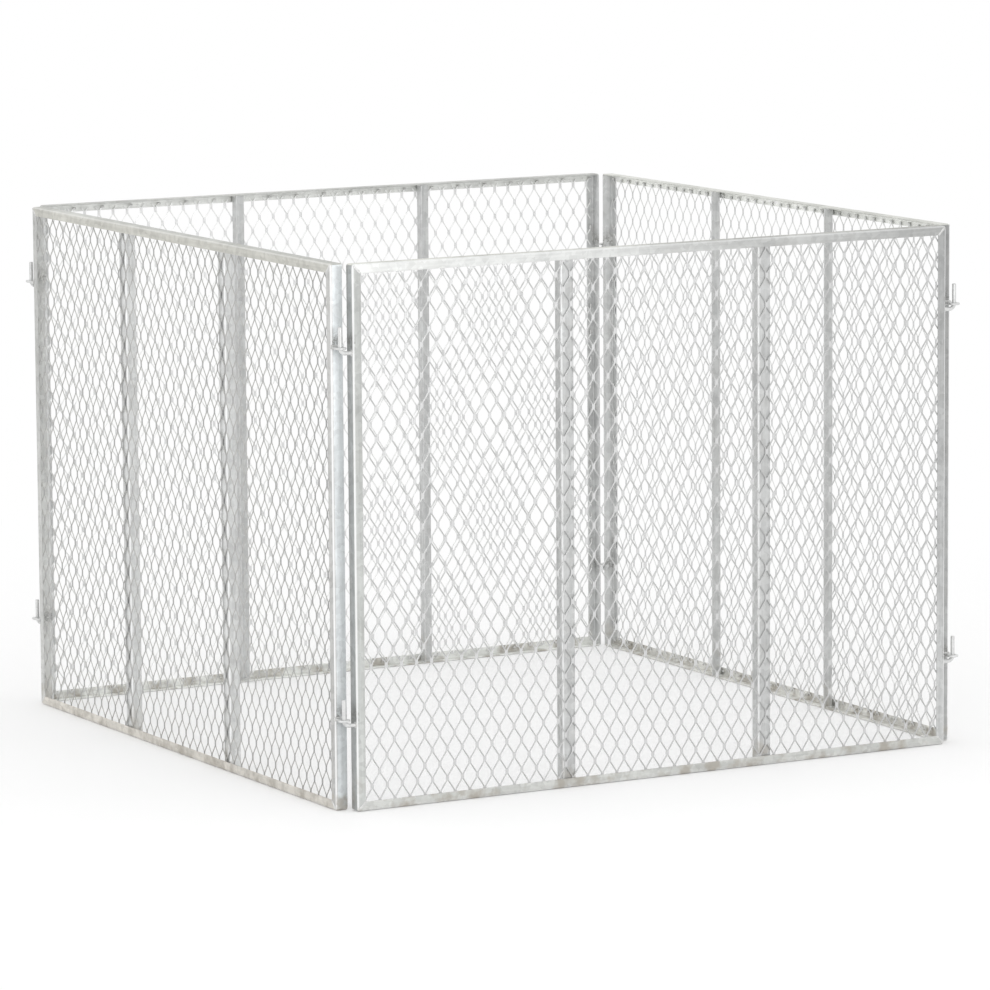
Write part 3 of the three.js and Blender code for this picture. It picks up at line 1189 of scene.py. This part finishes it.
def bead_pattern():
    """Geometry nodes that lay overlapping ripples of weld along lines."""
    tree, given, out = new_group(
        "weld_beads",
        "GeometryNodeTree",
        [
            ("Lines", "Geometry"),
            ("Ripple Radius", "Float"),
            ("Ripple Pitch", "Float"),
            ("Seed", "Int"),
            ("Finish", "Material"),
        ],
        [("Beads", "Geometry")],
    )
    curves = next_geometry(tree, "GeometryNodeMeshToCurve", given["Lines"])
    pitch = {"Length": given["Ripple Pitch"]}
    stations = next_geometry(tree, "GeometryNodeResampleCurve", curves, pitch, mode="LENGTH")
    ball = {"Segments": 9, "Rings": 6, "Radius": given["Ripple Radius"]}
    drop = add_node(tree, "GeometryNodeMeshUVSphere", ball).outputs["Mesh"]
    drop = next_geometry(tree, "GeometryNodeTransform", drop, {"Scale": RIPPLE_SHAPE})
    facing = add_node(
        tree, "GeometryNodeInputNamedAttribute", {"Name": "bead_faces"}, data_type="FLOAT_VECTOR"
    )
    outwards = add_node(
        tree, "FunctionNodeAlignRotationToVector", {"Vector": facing.outputs["Attribute"]}, axis="Z"
    )
    tangent = add_node(tree, "GeometryNodeInputTangent")
    along = add_node(
        tree,
        "FunctionNodeAlignRotationToVector",
        {"Rotation": outwards.outputs["Rotation"], "Vector": tangent.outputs["Tangent"]},
        axis="X",
        pivot_axis="Z",
    )
    size = add_node(
        tree,
        "FunctionNodeRandomValue",
        {"Min": RIPPLE_LEAST, "Max": RIPPLE_MOST, "Seed": given["Seed"]},
        data_type="FLOAT_VECTOR",
    )
    turned = {"Rotation": along.outputs["Rotation"], "Scale": size.outputs["Value"]}
    beads = stations
    for kind, inputs in (
        ("GeometryNodeInstanceOnPoints", {"Instance": drop, **turned}),
        ("GeometryNodeRealizeInstances", {}),
        ("GeometryNodeSetShadeSmooth", {}),
        ("GeometryNodeSetMaterial", {"Material": given["Finish"]}),
    ):
        beads = next_geometry(tree, kind, beads, inputs)
    tree.links.new(beads, out["Beads"])
    return tree


def lines_mesh(name, paths):
    """A mesh of loose edges along the paths, with the way each bead faces on its vertices."""
    points = []
    edges = []
    faces = []
    for line, facing in paths:
        first = len(points)
        points.extend(line)
        edges.extend((first + i, first + i + 1) for i in range(len(line) - 1))
        faces.extend([facing.normalized()] * len(line))
    mesh = bpy.data.meshes.new(name)
    mesh.from_pydata(points, edges, [])
    layer = mesh.attributes.new("bead_faces", "FLOAT_VECTOR", "POINT")
    for item, facing in zip(layer.data, faces):
        item.vector = facing
    return mesh


class BIN_OT_welds(bpy.types.Operator):
    """Lay the weld beads at corners, struts and connectors and the tacks on the sheets"""

    bl_idname = "compost_bin.welds"
    bl_label = "Welds"

    def execute(self, context):
        sizes = context.scene.bin_welds
        finish = material_of("weld")
        tree = bead_pattern()
        for index, panel in enumerate(PANELS):
            name = panel + "_weld_beads"
            mesh = evaluated_mesh(
                name,
                lines_mesh(name, weld_paths(panel) + tack_paths()),
                tree,
                {
                    "Ripple Radius": sizes.ripple_radius,
                    "Ripple Pitch": sizes.ripple_pitch,
                    "Seed": sizes.seed + index,
                    "Finish": finish,
                },
            )
            finish_piece(name, mesh, (finish,), panel, ANGLE_SLOT)
        return {"FINISHED"}


def seen_directly(tree):
    """A socket that is 1 for what the camera sees, also in the metal, and 0 for what only lights."""
    path = add_node(tree, "ShaderNodeLightPath").outputs
    seen = path["Is Camera Ray"]
    for ray in ("Is Glossy Ray", "Is Transmission Ray"):
        seen = calculated(tree, "MAXIMUM", seen, path[ray])
    return seen


def studio_floor():
    """The floor's finish: pale and matt, going over to plain white away from the bin."""
    look = bpy.context.scene.bin_stage
    material = bpy.data.materials.new("studio_floor")
    material.use_nodes = True
    tree = material.node_tree
    white = (1.0, 1.0, 1.0, 1.0)
    shader = tree.nodes["Principled BSDF"]
    shader.inputs["Base Color"].default_value = (*look.floor_colour, 1.0)
    shader.inputs["Roughness"].default_value = 0.9
    shader.inputs["Specular IOR Level"].default_value = 0.1
    shader.inputs["Emission Color"].default_value = white
    seen = seen_directly(tree)
    glow = calculated(tree, "MULTIPLY", seen, look.floor_glow)
    tree.links.new(glow, shader.inputs["Emission Strength"])
    place = add_node(tree, "ShaderNodeTexCoord").outputs["Object"]
    away = add_node(tree, "ShaderNodeVectorMath", {0: place}, operation="LENGTH")
    far = remapped(tree, away.outputs["Value"], look.shadow_radius, look.white_radius, smooth=True)
    backdrop = add_node(tree, "ShaderNodeEmission", {"Color": white, "Strength": 1.0})
    mix = add_node(
        tree,
        "ShaderNodeMixShader",
        {0: calculated(tree, "MULTIPLY", far, seen), 1: shader.outputs[0], 2: backdrop.outputs[0]},
    )
    tree.links.new(mix.outputs[0], tree.nodes["Material Output"].inputs["Surface"])
    return material


def white_surroundings():
    """A world that lights evenly and shows white."""
    world = bpy.data.worlds.new("white_surroundings")
    world.use_nodes = True
    tree = world.node_tree
    background = tree.nodes["Background"].inputs
    even = bpy.context.scene.bin_stage.surroundings
    strength = remapped(tree, seen_directly(tree), 0.0, 1.0, low=even, high=1.0)
    tree.links.new(strength, background["Strength"])
    background["Color"].default_value = (1.0, 1.0, 1.0, 1.0)
    bpy.context.scene.world = world


def soft_light(name, place, aim, size, power):
    """A round area light that points at the bin."""
    data = bpy.data.lights.new(name, "AREA")
    data.shape = "DISK"
    data.size = size
    data.energy = power
    light = bpy.data.objects.new(name, data)
    light.location = place
    heading = Vector(aim) - Vector(place)
    light.rotation_euler = heading.to_track_quat("-Z", "Y").to_euler()
    bpy.context.scene.collection.objects.link(light)


def photograph_camera():
    """The camera of the photograph, fitted to the corners of the four panels."""
    azimuth = math.radians(29.157)
    elevation = math.radians(8.321)
    roll = math.radians(-0.405)
    distance = 8.6452
    aim = Vector((0.0184, 0.0, 0.33625))
    back = Vector(
        (
            -math.sin(azimuth) * math.cos(elevation),
            -math.cos(azimuth) * math.cos(elevation),
            math.sin(elevation),
        )
    )
    data = bpy.data.cameras.new("photograph_camera")
    data.sensor_width = 36.0
    data.lens = 213.98
    data.clip_end = 60.0
    camera = bpy.data.objects.new("photograph_camera", data)
    turn = (-back).to_track_quat("-Z", "Y").to_matrix().to_4x4()
    camera.matrix_world = (
        Matrix.Translation(aim + back * distance) @ turn @ Matrix.Rotation(roll, 4, "Z")
    )
    bpy.context.scene.collection.objects.link(camera)
    bpy.context.scene.camera = camera


class BIN_OT_stage(bpy.types.Operator):
    """Set up the camera, the pale floor and the soft light"""

    bl_idname = "compost_bin.stage"
    bl_label = "Stage"

    def execute(self, context):
        look = context.scene.bin_stage
        photograph_camera()
        white_surroundings()
        work = bmesh.new()
        bmesh.ops.create_circle(work, cap_ends=True, radius=FLOOR_RADIUS, segments=64)
        mesh = bpy.data.meshes.new("studio_floor")
        work.to_mesh(mesh)
        work.free()
        mesh.materials.append(studio_floor())
        floor = bpy.data.objects.new("studio_floor", mesh)
        floor.location.z = -FLOOR_GAP
        context.scene.collection.objects.link(floor)
        soft_light("main_light", *MAIN_LIGHT, look.key_power)
        soft_light("left_light", *LEFT_LIGHT, look.fill_power)
        context.scene.view_settings.view_transform = "Standard"
        return {"FINISHED"}


class BIN_PT_build(bpy.types.Panel):
    """Lists the pieces of the compost bin"""

    bl_idname = "BIN_PT_build"
    bl_label = "Compost bin"
    bl_space_type = "VIEW_3D"
    bl_region_type = "UI"
    bl_category = "Compost bin"

    def draw(self, context):
        for name, label, group in SETTINGS:
            box = self.layout.box()
            box.label(text=label)
            for key in group.__annotations__:
                box.prop(getattr(context.scene, name), key)
        for operator in OPERATORS:
            self.layout.operator(operator.bl_idname)


OPERATORS = (
    BIN_OT_stage,
    BIN_OT_frames,
    BIN_OT_struts,
    BIN_OT_expanded_metal,
    BIN_OT_connectors,
    BIN_OT_welds,
)
SETTINGS = (
    ("bin_frame", "Folded angle", FrameSizes),
    ("bin_sheet", "Expanded metal", SheetSizes),
    ("bin_welds", "Welds", WeldSizes),
    ("bin_connectors", "Hooks and eyes", ConnectorSizes),
    ("bin_finish", "Zinc", Finish),
    ("bin_stage", "Stage", StageLook),
)


def register():
    """Registers the settings, the operators and the panel."""
    for name, _, group in SETTINGS:
        bpy.utils.register_class(group)
        setattr(bpy.types.Scene, name, PointerProperty(type=group))
    for kind in OPERATORS + (BIN_PT_build,):
        bpy.utils.register_class(kind)


def unregister():
    """Takes away what register added."""
    for kind in reversed(OPERATORS + (BIN_PT_build,)):
        bpy.utils.unregister_class(kind)
    for name, _, group in reversed(SETTINGS):
        delattr(bpy.types.Scene, name)
        bpy.utils.unregister_class(group)


def main():
    """Builds the stage and every piece."""
    register()
    bpy.ops.compost_bin.stage()
    bpy.ops.compost_bin.frames()
    bpy.ops.compost_bin.struts()
    bpy.ops.compost_bin.expanded_metal()
    bpy.ops.compost_bin.connectors()
    bpy.ops.compost_bin.welds()


if __name__ == "__main__":
    main()
